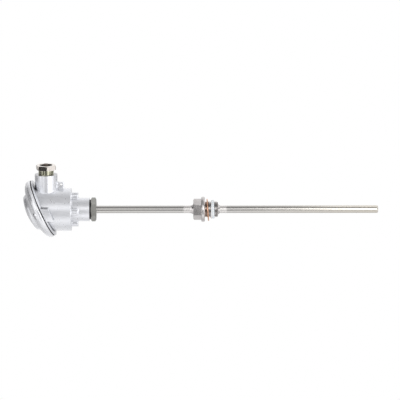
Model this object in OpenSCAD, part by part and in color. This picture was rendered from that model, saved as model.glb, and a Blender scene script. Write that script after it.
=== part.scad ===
// Resistance thermometer (RTD) probe with a screw-in process fitting and a
// die-cast connection head. Millimetres. +Z runs along the stem toward the
// head, +X points along the cable gland, and the origin is the centre of the
// flange face that seals against the vessel.

/* [Protection tube] */
// Outside diameter of the protection tube
tube_d = 10; // [9:0.5:11]
// Wall thickness of the protection tube
tube_wall = 1; // [0.8:0.1:1.2]
// Insertion length, from the sealing face to the tip
insertion_length = 225; // [60:1:400]
// Thickness of the welded end of the tube
tip_t = 2.5; // [2:0.1:4]
// Rounding of the tip's edge
tip_round = 1.6; // [0.8:0.1:2]

/* [Process fitting] */
// Diameter of the flange
flange_d = 33; // [31:0.5:38]
// Thickness of the flange
flange_t = 4.6; // [4:0.1:6]
// Rounding of the flange's rim
flange_round = 1.6; // [0.8:0.1:1.9]
// Hexagon of the fitting, across flats
fitting_af = 24; // [22:0.5:27]
// Height of the hexagon above the flange
fitting_hex_h = 10.4; // [8:0.2:14]
// Turn of the hexagon about the stem
fitting_turn = 7; // [-30:0.5:30]
// Major diameter of the process thread, G1/2
thread_d = 20.955; // [20.5:0.005:21.5]
// Length from the sealing face to the end of the thread
thread_length = 17; // [15:0.5:20]
// Diameter of the relief between thread and flange
relief_d = 18.6; // [17:0.1:19.5]
// Width of the relief between thread and flange
relief_w = 2.2; // [1.5:0.1:3]
// Diameter of the weld cone at the thread's end
nose_d = 14; // [13:0.1:16]
// Length of the weld cone at the thread's end
nose_h = 2.6; // [1.5:0.1:4]
// Diameter of the weld cone on the hexagon
flare_d = 13.4; // [12.5:0.1:16]
// Length of the weld cone on the hexagon
flare_h = 3.6; // [2:0.1:5]

/* [Rings on the thread] */
// Outside diameter of the copper washer
washer_od = 28.8; // [27:0.1:31]
// Hole of the copper washer
washer_id = 22.8; // [22.4:0.1:24]
// Thickness of the copper washer
washer_t = 1.5; // [1:0.1:2]
// Lean of the copper washer on the thread
washer_lean = 4; // [0:0.5:5]
// Height of the copper washer's middle
washer_z = -3.9; // [-4.3:0.1:-3.8]
// Outside diameter of the white retaining ring
ring_od = 24.3; // [23:0.1:26]
// How far the ring's bore bites into the thread
ring_bite = 0.2; // [0.17:0.01:0.25]
// Height of the retaining ring's middle
ring_z = -10.2; // [-10.6:0.1:-9.8]
// Width of the retaining ring on the gland side
ring_w_narrow = 3.4; // [2.5:0.1:4]
// Width of the retaining ring on the far side
ring_w_wide = 5.4; // [4:0.1:5.6]

/* [Neck] */
// Height of the collar's lower face above the sealing face
collar_z = 141; // [100:1:200]
// Hexagon of the collar, across flats
collar_af = 27; // [26.5:0.5:30]
// Height of the collar
collar_h = 7; // [5:0.1:9]
// Turn of the collar about the stem
collar_turn = 8; // [-30:0.5:30]
// Major diameter of the neck thread, M24
neck_thread_d = 24; // [23:0.5:25]
// Length of the neck thread
neck_thread_h = 18; // [12:0.5:20]
// Outside diameter of the neck gasket
neck_gasket_d = 25.6; // [25:0.1:28]
// Thickness of the neck gasket
neck_gasket_t = 1.8; // [1:0.1:2.5]

/* [Head body] */
// Diameter of the threaded neck boss
boss_d = 30.6; // [29:0.2:34]
// Length of the neck boss, from its face to the shoulder
boss_h = 23.4; // [21:0.2:28]
// Diameter of the head's cylindrical body
body_d = 55.6; // [53:0.2:60]
// Wall thickness of the body
body_wall = 2.8; // [2.4:0.1:4]
// Thickness of the body's floor
floor_t = 4; // [3:0.2:6]
// Width of the four lugs under the shoulder
lug_w = 9; // [8:0.2:11]
// Reach of the lugs from the stem's axis
lug_reach = 22.6; // [21.6:0.1:24]
// Length of the lugs below the shoulder
lug_h = 8.8; // [6:0.2:11]
// Slant of the parting plane
slant = 24.1; // [20:0.1:28]
// Offset of the parting plane's middle toward the gland
plane_x = 2; // [0:0.1:4]
// Height of the parting plane's middle above the shoulder
plane_up = 37.4; // [36:0.1:42]
// Diameter of the body's slanted flange
rim_d = 77.6; // [76:0.2:82]
// Thickness of the body's slanted flange
rim_t = 3.4; // [3:0.1:4.5]
// Depth of the side bosses behind the parting plane
side_boss_h = 10; // [9.4:0.2:13]
// Half width of the side bosses
side_boss_w = 8.5; // [8:0.1:10]

/* [Gland] */
// Height of the gland's axis above the shoulder
gland_up = 32.6; // [32:0.1:35]
// Diameter of the gland boss
gland_boss_d = 29.4; // [28:0.2:31]
// Distance of the gland boss's face from the stem's axis
gland_face = 46.8; // [44:0.2:50]
// Thread diameter of the gland entry, M20
gland_d = 20; // [19.5:0.1:20.5]
// Depth of the threaded gland entry
gland_depth = 15.4; // [14:0.2:17]
// Hexagon of the pressure screw, across flats
gland_af = 24; // [23.4:0.1:25]
// Diameter over the pressure screw's blunted corners
gland_corner_d = 27.2; // [26:0.1:27.6]
// Height of the pressure screw's hexagon
gland_hex_h = 6.2; // [4.5:0.1:7]
// Thread left showing under the pressure screw's hexagon
gland_gap = 6; // [4:0.2:8]
// Cable opening of the pressure screw
gland_bore = 15.6; // [13:0.1:16]
// Length of the rubber seal
seal_h = 8.6; // [7:0.1:9]
// Diameter of the blanking plug
plug_d = 6; // [5:0.1:7]
// How far the plug stands out of the pressure screw
plug_out = 1.6; // [0:0.1:2]
// Turn of the pressure screw's hexagon
gland_turn = -19; // [-30:0.5:30]

/* [Cover] */
// How far the cover's edge stands out past the body's flange
cover_lip = 0.7; // [0.3:0.1:1.2]
// Height of the cover's dome above the parting plane
cover_h = 22; // [20:0.2:25]
// Diameter of the cover's central dome at its foot
dome_d = 50; // [46:0.5:54]
// Wall thickness of the cover
cover_wall = 2.6; // [2.2:0.1:3.4]
// Thickness of the cover gasket
gasket_t = 1; // [0.8:0.1:1.4]
// Distance of the cover screws in from the flange's edge
screw_in = 5.4; // [5:0.1:5.8]
// Thread diameter of the cover screws
screw_d = 5; // [4.6:0.1:5]
// Head diameter of the cover screws
screw_head_d = 8.4; // [7.8:0.1:8.8]
// Head height of the cover screws
screw_head_h = 3; // [2.6:0.1:3.6]

/* [Measuring insert] */
// Diameter of the insert's sheath
sheath_d = 6; // [5:0.1:6.6]
// Diameter of the insert's mounting plate
plate_d = 42; // [40:0.5:43]
// Thickness of the insert's mounting plate
plate_t = 1.5; // [1.2:0.1:2]
// Gap between the floor and the mounting plate
plate_gap = 3; // [2:0.1:4]
// Pitch of the two insert screws
insert_pitch = 33; // [33:0.5:34]
// Length of the insert springs
spring_h = 14; // [13:0.5:16]
// Height of the ceramic terminal block
block_h = 10; // [8:0.5:11]
// Diameter of the ceramic terminal block
block_d = 37; // [36:0.5:39]

/* [Hidden] */
$fn = 96;

// clearances: welded or seated, turning, loose, and a cut's overrun
seat = 0.02;
run = 0.05;
loose = 0.3;
over = 1;

tube_r = tube_d / 2;
bore_r = tube_r - tube_wall;
thread_r = thread_d / 2;
ring_r = ring_od / 2;
grip_r = thread_r - ring_bite;
fitting_top = flange_t + fitting_hex_h;
collar_top = collar_z + collar_h;
boss_z = collar_top + neck_gasket_t;
shoulder_z = boss_z + boss_h;
floor_z = shoulder_z + floor_t;
neck_thread_r = neck_thread_d / 2;
neck_thread_z = boss_z + neck_thread_h;
boss_r = boss_d / 2;
body_r = body_d / 2;
cavity_r = body_r - body_wall;
lug_r = lug_reach - lug_w / 2;
plane_z = shoulder_z + plane_up;
rim_r = rim_d / 2;
half_gasket = gasket_t / 2;

gland_z = shoulder_z + gland_up;
gland_r = gland_d / 2;
gland_boss_r = gland_boss_d / 2;
gland_seat = gland_face - gland_depth;
passage_r = gland_r - 2.6;
seal_top = gland_seat + seal_h;
gland_washer_t = 1.2;
screw_tip = seal_top + gland_washer_t + run;
hex_foot = gland_face + gland_gap;
screw_top = hex_foot + gland_hex_h;

cover_r = rim_r + cover_lip;
cover_step = cover_h / 22;
dome_r = dome_d / 2;
screw_r = rim_r - screw_in;
screw_head_seat = 7.4 * cover_step;
screw_slot = 1.2;
pocket_r = screw_head_d / 2 + loose + 1.1;
retainer_r = screw_d / 2 + 1.3;
retainer_h = 1.6;
far = 3 * rim_d;
insert_r = insert_pitch / 2;
plate_z = floor_z + plate_gap;
plate_top = plate_z + plate_t;
spring_top = plate_top + spring_h;
spring_wire_r = 0.4;
spring_r = 2.85;
insert_screw_r = 2;
insert_head_r = 3.4;
insert_head_h = 2.6;
small_slot = 0.8;
sheath_r = sheath_d / 2;
sheath_wall = 0.5;
sheath_tip = -insertion_length + tip_t + loose;
sheath_top = plate_top + 3;
core_r = sheath_r - sheath_wall;
element_r = 1.4;
element_h = 15;
element_z = sheath_tip + 3.6;
wire_r = 0.28;
wire_at = 0.85;
block_z = plate_top + run;
block_top = block_z + block_h;
term_x = 11;
term_y = 6.2;
term_l = 7;
term_w = 6;
term_h = 9;
term_z = block_top - 5;
term_top = term_z + term_h;
wire_z = block_top + 1.6;

// ---------- helpers ----------

// a cylinder from height a to height b
module rod(r, a, b) {
  translate([0, 0, a]) cylinder(r = r, h = b - a);
}

// a round disc with rounded lower and upper edges
module soft_disc(r, a, b, ea, eb) {
  rod(r, a + ea, b - eb);
  rod(r - ea, a, a + ea + 0.01);
  rod(r - eb, b - eb - 0.01, b);
  translate([0, 0, a + ea]) rotate_extrude() translate([r - ea, 0]) circle(r = ea);
  translate([0, 0, b - eb]) rotate_extrude() translate([r - eb, 0]) circle(r = eb);
}

// a hexagonal bar across flats af from height a to height b
module hex_bar(af, a, b) {
  translate([0, 0, a]) cylinder(r = af / sqrt(3), h = b - a, $fn = 6);
}

// a hexagon whose ends are turned to a 30 degree chamfer; low and high pick them
module nut_shape(af, a, b, low, high) {
  r = af / sqrt(3) + 0.1;
  foot = af / 2 - 0.2;
  drop = (r - foot) * tan(30);
  intersection() {
    hex_bar(af, a, b);
    rotate_extrude() polygon([[0, a], [low ? foot : r, a], [r, a + drop],
      [r, b - drop], [high ? foot : r, b], [0, b]]);
  }
}

// the slanted parting plane: local z leaves the body
module on_plane() {
  translate([plane_x, 0, plane_z]) rotate([0, -slant, 0]) children();
}

// the gland's axis: local z points out of the gland
module on_gland() {
  translate([0, 0, gland_z]) rotate([0, 90, 0]) children();
}

// a straight round wire from p to q with a ball at q
module wire(p, q, r) {
  d = q - p;
  len = norm(d);
  translate(p) rotate([0, acos(d[2] / len), atan2(d[1], d[0])])
    cylinder(r = r, h = len, $fn = 24);
  translate(q) sphere(r = r + 0.015, $fn = 24);
}

// both insert screw places
module insert_places() {
  for (s = [-1, 1]) translate([0, s * insert_r, 0]) children();
}

// the four terminal places
module terminal_places() {
  for (a = [-1, 1]) for (b = [-1, 1]) translate([a * term_x, b * term_y, 0]) children();
}

// ---------- stem and process fitting ----------

// turned process fitting: flange, hexagon, thread and both weld cones
module process_fitting() {
  color("silver") difference() {
    union() {
      soft_disc(flange_d / 2, 0, flange_t, flange_round, flange_round);
      rotate([0, 0, fitting_turn]) nut_shape(fitting_af, flange_t - 0.01, fitting_top, false, true);
      translate([0, 0, fitting_top - 0.01]) cylinder(r1 = flare_d / 2, r2 = tube_r + 0.25, h = flare_h);
      rod(relief_d / 2, -relief_w - 0.01, 0.01);
      rod(thread_r, -thread_length + 1.2, -relief_w);
      translate([0, 0, -thread_length]) cylinder(r1 = thread_r - 1.4, r2 = thread_r, h = 1.21);
      translate([0, 0, -thread_length - nose_h])
        cylinder(r1 = tube_r + 0.25, r2 = nose_d / 2, h = nose_h + 0.01);
    }
    rod(tube_r + seat, -thread_length - nose_h - over, fitting_top + flare_h + over);
    ring_groove();
  }
}

// the stretch of thread that the retaining ring's bore has bitten into
module ring_groove() {
  difference() {
    rod(thread_r + over, ring_z - ring_w_wide / 2 - 0.1, ring_z + ring_w_wide / 2 + 0.1);
    rod(grip_r, ring_z - ring_w_wide, ring_z + ring_w_wide);
  }
}

// protection tube from the neck thread to its welded tip
module protection_tube() {
  color("gainsboro") difference() {
    union() {
      rod(tube_r, -insertion_length + tip_round, neck_thread_z - 4);
      rod(tube_r - tip_round, -insertion_length, -insertion_length + tip_round + 0.01);
      translate([0, 0, -insertion_length + tip_round])
        rotate_extrude() translate([tube_r - tip_round, 0]) circle(r = tip_round);
    }
    rod(bore_r, -insertion_length + tip_t, neck_thread_z + over);
  }
}

// flat copper sealing washer, hanging loose on the thread
module copper_washer() {
  slack = washer_id / 2 * cos(washer_lean) - washer_t / 2 * sin(washer_lean) - thread_r - 0.03;
  color("peru") translate([-slack, 0, washer_z]) rotate([0, -washer_lean, 0])
    difference() {
      rod(washer_od / 2, -washer_t / 2, washer_t / 2);
      rod(washer_id / 2, -over - washer_t, over + washer_t);
    }
}

// white plastic ring that keeps the washer on the thread
module retaining_ring() {
  lean = atan((ring_w_wide - ring_w_narrow) / 2 / ring_od);
  mid = (ring_w_wide + ring_w_narrow) / 4;
  color("white") difference() {
    rod(ring_r, ring_z - ring_w_wide / 2, ring_z + ring_w_wide / 2);
    rod(grip_r + seat, ring_z - ring_w_wide, ring_z + ring_w_wide);
    translate([0, 0, ring_z + mid]) rotate([0, lean, 0])
      translate([-ring_od, -ring_od, 0]) cube([2 * ring_od, 2 * ring_od, ring_od]);
    translate([0, 0, ring_z - mid]) rotate([0, -lean, 0])
      translate([-ring_od, -ring_od, -ring_od]) cube([2 * ring_od, 2 * ring_od, ring_od]);
  }
}

// threaded collar that carries the head on the tube
module neck_adapter() {
  color("darkgray") difference() {
    union() {
      rotate([0, 0, collar_turn]) nut_shape(collar_af, collar_z, collar_top, true, true);
      rod(neck_thread_r - 1.4, collar_top - 0.01, boss_z + 0.01);
      rod(neck_thread_r - run, boss_z, neck_thread_z - 1);
      translate([0, 0, neck_thread_z - 1.01])
        cylinder(r1 = neck_thread_r - run, r2 = neck_thread_r - run - 1, h = 1.01);
    }
    rod(tube_r + seat, collar_z - over, neck_thread_z + over);
  }
}

// black gasket between the collar and the head
module neck_gasket() {
  color("dimgray") difference() {
    rod(neck_gasket_d / 2, collar_top + seat, boss_z - seat);
    rod(neck_thread_r - 1.4 + seat, collar_top - over, boss_z + over);
  }
}

// ---------- connection head ----------

// one-piece head casting
module head_body() {
  color("lightsteelblue") difference() {
    union() {
      body_shell();
      body_rim();
      body_neck();
      gland_boss();
      eye_lug();
    }
    on_plane() translate([-far, -far, -half_gasket]) cube([2 * far, 2 * far, far]);
    body_hollows();
  }
}

// cylindrical body, later cut off by the slanted plane
module body_shell() {
  soft_disc(body_r, shoulder_z, plane_z + 40, 2.4, 2.4);
}

// slanted flange with a boss on either side for a cover screw
module body_rim() {
  h = half_gasket;
  on_plane() rotate_extrude() polygon([[0, -h], [rim_r - 0.3, -h], [rim_r, -h - 0.3],
    [rim_r - 0.2, -h - 1.2], [rim_r - 1.4, -h - rim_t + 0.6], [rim_r - 2.4, -h - rim_t],
    [0, -h - rim_t]]);
  intersection() {
    on_plane() rod(rim_r - 0.4, -side_boss_h, -half_gasket - 0.4);
    for (s = [-1, 1]) translate([-side_boss_w, s * rim_r - rim_r / 2, floor_z])
      cube([2 * side_boss_w, rim_r, far]);
  }
}

// neck boss with four lugs under the shoulder
module body_neck() {
  rod(boss_r - 0.6, boss_z, boss_z + 0.61);
  translate([0, 0, boss_z]) cylinder(r1 = boss_r - 0.6, r2 = boss_r, h = 0.6);
  rod(boss_r, boss_z + 0.6, floor_z);
  for (k = [0 : 3]) rotate([0, 0, 90 * k]) {
    translate([lug_r, 0, 0]) {
      rod(lug_w / 2, shoulder_z - lug_h + 1, floor_z);
      translate([0, 0, shoulder_z - lug_h]) cylinder(r1 = lug_w / 2 - 1, r2 = lug_w / 2, h = 1.01);
    }
    translate([0, -lug_w / 2, shoulder_z - lug_h + 1]) cube([lug_r, lug_w, lug_h]);
  }
}

// round boss for the cable gland
module gland_boss() {
  on_gland() soft_disc(gland_boss_r, 10, gland_face, 1.2, 1.2);
}

// small cast eye above the shoulder, on the gland's side
module eye_lug() {
  translate([body_r - 3, 0, shoulder_z + 9.6]) {
    translate([0, -2.4, 0]) cube([9.6, 4.8, 7.3]);
    translate([0, -2.4, 1.6]) cube([12.2, 4.8, 4.1]);
    for (h = [1.6, 5.7]) translate([10.6, 0, h]) rotate([90, 0, 0])
      translate([0, 0, -2.4]) cylinder(r = 1.6, h = 4.8);
  }
}

// everything cut out of the casting
module body_hollows() {
  rod(cavity_r, floor_z, plane_z + 60);
  rod(neck_thread_r, boss_z - over, neck_thread_z + 1);
  rod(neck_thread_r - 3, boss_z, floor_z + over);
  insert_places() rod(2 + run, shoulder_z - lug_h + 2.2, floor_z + over);
  for (s = [-1, 1]) translate([s * insert_r, 0, 0])
    rod(2 + run, shoulder_z - lug_h + 2.2, floor_z + over);
  on_gland() rod(gland_r, gland_seat, gland_face + over);
  on_gland() rod(passage_r, 12, gland_seat + 0.01);
  on_plane() for (s = [-1, 1]) translate([0, s * screw_r, 0])
    rod(screw_d / 2 + run, -side_boss_h + 3, over);
  translate([body_r + 5.4, 0, shoulder_z + 13.25]) rotate([90, 0, 0]) rod(1.7, -5, 5);
}

// flat black gasket between the body and its cover
module cover_gasket() {
  color("dimgray") on_plane() difference() {
    rod(rim_r - 0.1, -half_gasket + seat, half_gasket - seat);
    rod(rim_r - 8, -over, over);
    for (s = [-1, 1]) translate([0, s * screw_r, 0]) rod(screw_d / 2 + 0.4, -over, over);
  }
}

// ---------- cover ----------

// die-cast cover: stepped rim and a central dome
module head_cover() {
  color("lightgray") on_plane() difference() {
    union() {
      cover_skin(0);
      for (s = [-1, 1]) translate([0, s * screw_r, 0])
        rod(pocket_r, half_gasket, screw_head_seat + 1);
    }
    difference() {
      cover_skin(cover_wall);
      for (s = [-1, 1]) translate([0, s * screw_r, 0]) rod(pocket_r, -over, screw_head_seat + 1);
    }
    for (s = [-1, 1]) translate([0, s * screw_r, 0]) {
      rod(screw_head_d / 2 + loose, screw_head_seat, cover_h + over);
      rod(screw_d / 2 + 0.2, -over, screw_head_seat + over);
      rod(retainer_r + 0.2, -over, half_gasket + retainer_h);
    }
  }
}

// the cover's outline, turned about its own axis, drawn in by w
module cover_skin(w) {
  r = cover_r;
  u = cover_step;
  low = w > 0 ? -over : half_gasket;
  rotate_extrude() polygon([
    [0, low], [r - 0.6 * u - 2.4 * w, low], [r - 0.6 * u - 2.4 * w, half_gasket + 0.01],
    [r - 0.2 * u - 2.4 * w, half_gasket + 0.8 * u],
    [r - 2.4 * w, 3 * u], [r - 0.5 * u - 2.3 * w, 5.4 * u - 0.3 * w],
    [r - 2.3 * u - 2 * w, 8 * u - 0.6 * w], [r - 5.2 * u - 1.4 * w, 10.3 * u - w],
    [r - 8.5 * u - w, 11.7 * u - w], [dome_r + 0.6 * u - w, 12.9 * u - w],
    [dome_r - w, 13.7 * u - w], [dome_r - u - w, 16 * u - w], [dome_r - 2.6 * u - w, 17.6 * u - w],
    [dome_r - 5.5 * u - w, 18.7 * u - w], [dome_r - 10 * u - w, 19.95 * u - w],
    [dome_r - 15 * u - w, 21.05 * u - w], [dome_r - 20 * u - w, 21.76 * u - w],
    [0, cover_h - w]]);
}

// slotted cover screw at one side
module cover_screw(s) {
  on_plane() translate([0, s * screw_r, 0]) difference() {
    union() {
      rod(screw_head_d / 2, screw_head_seat + seat, screw_head_seat + screw_head_h - 0.5);
      translate([0, 0, screw_head_seat + screw_head_h - 0.51])
        cylinder(r1 = screw_head_d / 2, r2 = screw_head_d / 2 - 0.5, h = 0.51);
      rod(screw_d / 2 - 0.5, -half_gasket, screw_head_seat + 0.1);
      rod(screw_d / 2, -side_boss_h + 4.3, -half_gasket + 0.01);
      translate([0, 0, -side_boss_h + 3.5])
        cylinder(r1 = screw_d / 2 - 0.8, r2 = screw_d / 2, h = 0.81);
    }
    rotate([0, 0, s * 25 + 40])
      translate([-screw_head_d, -screw_slot / 2, screw_head_seat + screw_head_h - 1.3])
      cube([2 * screw_head_d, screw_slot, screw_head_h]);
  }
}

// cover screw on the viewer's side
module cover_screw_front() {
  color("gray") cover_screw(-1);
}

// cover screw on the far side
module cover_screw_back() {
  color("gray") cover_screw(1);
}

// rings in the cover's underside that keep both screws from falling out
module screw_retainers() {
  color("black") on_plane() for (s = [-1, 1]) translate([0, s * screw_r, 0]) difference() {
    rod(retainer_r, half_gasket + 0.3, half_gasket + retainer_h - seat);
    rod(screw_d / 2 - 0.5 + run, -over, 4);
  }
}

// ---------- cable gland ----------

// hollow pressure screw of the gland
module gland_screw() {
  color("silver") on_gland() difference() {
    union() {
      rod(gland_r - run, screw_tip + 0.8, hex_foot + 0.01);
      translate([0, 0, screw_tip]) cylinder(r1 = gland_r - run - 0.8, r2 = gland_r - run, h = 0.81);
      intersection() {
        rotate([0, 0, gland_turn]) nut_shape(gland_af, hex_foot, screw_top, true, true);
        rod(gland_corner_d / 2, hex_foot - over, screw_top + over);
      }
    }
    rod(gland_bore / 2, screw_tip - over, screw_top + over);
    translate([0, 0, screw_top - 0.8])
      cylinder(r1 = gland_bore / 2, r2 = gland_bore / 2 + 0.9, h = 0.9);
  }
}

// steel washer between the pressure screw and the seal
module gland_washer() {
  color("silver") on_gland() difference() {
    rod(gland_r - 0.4, seal_top + seat, seal_top + gland_washer_t);
    rod(plug_d / 2 + 1.5, seal_top - over, seal_top + over + gland_washer_t);
  }
}

// rubber sealing ring at the bottom of the gland entry
module gland_seal() {
  color("black") on_gland() difference() {
    rod(gland_r - 0.3, gland_seat + seat, seal_top);
    rod(plug_d / 2 + seat, gland_seat - over, seal_top + over);
  }
}

// blanking plug that closes the cable opening
module gland_plug() {
  color("tan") on_gland() {
    rod(plug_d / 2, gland_seat - 2, screw_top + plug_out - 0.4);
    translate([0, 0, screw_top + plug_out - 0.41])
      cylinder(r1 = plug_d / 2, r2 = plug_d / 2 - 0.4, h = 0.41);
  }
}

// ---------- measuring insert ----------

// round mounting plate of the insert
module insert_plate() {
  color("silver") difference() {
    rod(plate_d / 2, plate_z, plate_top);
    rod(sheath_r + seat, plate_z - over, plate_top + over);
    insert_places() rod(2.4, plate_z - over, plate_top + over);
    for (s = [-1, 1]) translate([s * 12, 0, 0]) rod(1.5 + run, plate_z - over, plate_top + over);
  }
}

// collar brazed under the plate round the sheath
module insert_collar() {
  color("silver") difference() {
    union() {
      rod(sheath_r + 1.6, plate_z - 7, plate_z - seat);
      rod(sheath_r + 2.8, plate_z - 2, plate_z - seat);
    }
    rod(sheath_r + seat, plate_z - 8, plate_z + over);
  }
}

// metal sheath of the insert with its closed tip
module insert_sheath() {
  color("gainsboro") difference() {
    union() {
      rod(sheath_r, sheath_tip + 1, sheath_top);
      rod(sheath_r - 1, sheath_tip, sheath_tip + 1.01);
      translate([0, 0, sheath_tip + 1]) rotate_extrude() translate([sheath_r - 1, 0]) circle(r = 1);
    }
    rod(core_r, sheath_tip + 1.2, sheath_top + over);
  }
}

// the four wire places inside the sheath
module wire_places() {
  for (a = [-1, 1]) for (b = [-1, 1]) translate([a * wire_at, b * wire_at, 0]) children();
}

// packed oxide powder that holds the wires apart
module insert_filling() {
  color("ivory") difference() {
    rod(core_r - seat, sheath_tip + 1.2 + seat, plate_top);
    rod(element_r + seat, element_z - seat, element_z + element_h + seat);
    wire_places() rod(wire_r + seat, element_z + element_h, plate_top + over);
  }
}

// poured seal in the mouth of the sheath
module insert_seal() {
  color("brown") difference() {
    rod(core_r - seat, plate_top + seat, sheath_top - 0.4);
    wire_places() rod(wire_r + seat, plate_top - over, sheath_top + over);
  }
}

// Pt100 sensing element near the tip
module sensing_element() {
  color("white") rod(element_r, element_z, element_z + element_h);
}

// four lead wires from the element to the terminals
module lead_wires() {
  color("coral") for (a = [-1, 1]) for (b = [-1, 1]) {
    p0 = [a * wire_at, b * wire_at, element_z + element_h + seat];
    p1 = [a * wire_at, b * wire_at, sheath_top + 1];
    p2 = [a * 2.6, b * 3, block_top + 0.7];
    p3 = [a * 4.4, b * term_y, wire_z];
    p4 = [a * (term_x + 1), b * term_y, wire_z];
    wire(p0, p1, wire_r);
    wire(p1, p2, wire_r);
    wire(p2, p3, wire_r);
    wire(p3, p4, wire_r);
  }
}

// ceramic terminal block
module terminal_block() {
  color("white") difference() {
    soft_disc(block_d / 2, block_z, block_top, 0.6, 1);
    rod(5.4, block_z - over, block_top + over);
    insert_places() rod(4.8, block_z - over, block_top + over);
    for (s = [-1, 1]) translate([0, s * (insert_r + 4), block_z - over])
      translate([-4.8, -4, 0]) cube([9.6, 8, block_h + 2 * over]);
    for (s = [-1, 1]) translate([s * 12, 0, 0]) rod(1.8, block_z - over, block_top + over);
    terminal_places() translate([-term_l / 2 - run, -term_w / 2 - run, term_z - run])
      cube([term_l + 2 * run, term_w + 2 * run, term_h]);
  }
}

// four brass terminals
module terminals() {
  color("gold") terminal_places() difference() {
    translate([-term_l / 2, -term_w / 2, term_z]) cube([term_l, term_w, term_h]);
    translate([-term_l, 0, wire_z]) rotate([0, 90, 0]) cylinder(r = 1.2, h = 2 * term_l);
    rod(1.75, wire_z, term_top + over);
  }
}

// clamping screws of the terminals
module terminal_screws() {
  color("silver") terminal_places() difference() {
    union() {
      rod(1.7, wire_z + wire_r + run, term_top + 0.1);
      rod(2.9, term_top + seat, term_top + 1.8);
    }
    translate([-term_w, -small_slot / 2, term_top + 0.9]) cube([2 * term_w, small_slot, term_w]);
  }
}

// two screws that hold the ceramic block on the plate
module block_screws() {
  color("silver") for (s = [-1, 1]) translate([s * 12, 0, 0]) difference() {
    union() {
      rod(1.5, plate_z - 0.4, block_top + 0.1);
      rod(2.6, block_top + seat, block_top + 2);
    }
    translate([-small_slot / 2, -term_w, block_top + 1.1]) cube([small_slot, 2 * term_w, term_w]);
  }
}

// two captive screws that carry the insert's springs
module insert_screws() {
  color("silver") insert_places() difference() {
    union() {
      rod(insert_screw_r, shoulder_z - lug_h + 4, spring_top + 0.01);
      rod(insert_head_r, spring_top, spring_top + insert_head_h);
    }
    translate([-small_slot / 2, -2 * insert_head_r, spring_top + insert_head_h - 1.2])
      cube([small_slot, 4 * insert_head_r, insert_head_h]);
  }
}

// two springs that press the insert toward the tip
module insert_springs() {
  turns = 6;
  wr = spring_wire_r;
  mr = spring_r;
  pitch = (spring_h - 2 * wr - 0.1) / turns;
  lean = asin(pitch / 4 / mr);
  color("silver") insert_places() translate([0, 0, plate_top + wr + 0.05]) {
    for (k = [0 : turns - 1]) translate([0, 0, k * pitch]) {
      translate([0, 0, pitch / 4]) rotate([0, lean, 0]) half_turn(mr, wr);
      translate([0, 0, 3 * pitch / 4]) rotate([0, -lean, 0]) rotate([0, 0, 180]) half_turn(mr, wr);
    }
    for (k = [0 : 2 * turns]) translate([(k % 2 == 0 ? 1 : -1) * mr * cos(lean), 0, k * pitch / 2])
      sphere(r = wr + 0.012, $fn = 24);
  }
}

// half a turn of a spring of mean radius mr and wire radius wr
module half_turn(mr, wr) {
  rotate_extrude(angle = 180, $fn = 28) translate([mr, 0]) circle(r = wr, $fn = 14);
}

// ---------- drawing ----------

process_fitting();
protection_tube();
copper_washer();
retaining_ring();
neck_adapter();
neck_gasket();
head_body();
cover_gasket();
head_cover();
cover_screw_front();
cover_screw_back();
screw_retainers();
gland_screw();
gland_washer();
gland_seal();
gland_plug();
insert_plate();
insert_collar();
insert_sheath();
insert_filling();
insert_seal();
sensing_element();
lead_wires();
terminal_block();
terminals();
terminal_screws();
block_screws();
insert_screws();
insert_springs();
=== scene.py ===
# %% [markdown]
# # Resistance thermometer with its connection head
#
# A long steel tube holds a measuring insert. A screwed fitting sits on its middle, and a cast head
# with a slanted cover sits on its end. Every piece already exists as an exact solid in the frame.
# This lesson gives each piece its finish, and rebuilds the few whose real form has more in it:
# threads, soft cast edges, a turned cover.

# %% Load the frame
import math

import bpy
from mathutils import Matrix, Vector


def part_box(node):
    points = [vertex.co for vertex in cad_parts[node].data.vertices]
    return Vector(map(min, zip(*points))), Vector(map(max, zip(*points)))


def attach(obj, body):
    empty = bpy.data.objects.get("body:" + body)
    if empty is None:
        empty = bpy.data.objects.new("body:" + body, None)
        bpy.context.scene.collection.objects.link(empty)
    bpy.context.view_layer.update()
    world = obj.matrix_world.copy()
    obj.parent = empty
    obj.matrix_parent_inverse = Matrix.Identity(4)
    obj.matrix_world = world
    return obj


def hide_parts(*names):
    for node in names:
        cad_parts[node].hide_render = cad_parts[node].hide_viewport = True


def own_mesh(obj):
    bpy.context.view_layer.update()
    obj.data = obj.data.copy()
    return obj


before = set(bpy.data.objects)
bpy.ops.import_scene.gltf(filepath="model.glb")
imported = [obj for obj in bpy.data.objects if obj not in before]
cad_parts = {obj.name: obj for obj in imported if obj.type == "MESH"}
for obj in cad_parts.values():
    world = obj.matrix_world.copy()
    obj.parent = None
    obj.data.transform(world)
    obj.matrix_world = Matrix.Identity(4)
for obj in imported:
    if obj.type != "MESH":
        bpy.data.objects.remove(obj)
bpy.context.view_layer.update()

print("nodes:", len(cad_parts))

# %% [markdown]
# ## Working by hand, in code
#
# Every operator acts on what is selected, so each step starts by clearing the selection. Sizes are
# thought of in millimetres and Blender works in metres, so one value turns the first into the
# second.

# %% Selection helpers
MM = 0.001


def edit(action="SELECT"):
    """Edit mode, with all of the mesh selected, or none of it."""
    bpy.ops.object.mode_set(mode="EDIT")
    bpy.ops.mesh.select_all(action=action)


def done():
    """Back to object mode."""
    bpy.ops.object.mode_set(mode="OBJECT")


def rest():
    """Object mode, with nothing selected."""
    if bpy.context.object and bpy.context.object.mode != "OBJECT":
        done()
    bpy.ops.object.select_all(action="DESELECT")


def only(piece):
    """Selects one piece and makes it the active one."""
    rest()
    piece.select_set(True)
    bpy.context.view_layer.objects.active = piece
    return piece


def settle(piece):
    """Bakes the piece's place and turn into its mesh, so its object sits at the origin."""
    only(piece)
    bpy.ops.object.transform_apply(location=True, rotation=True, scale=True)
    return piece


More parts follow.
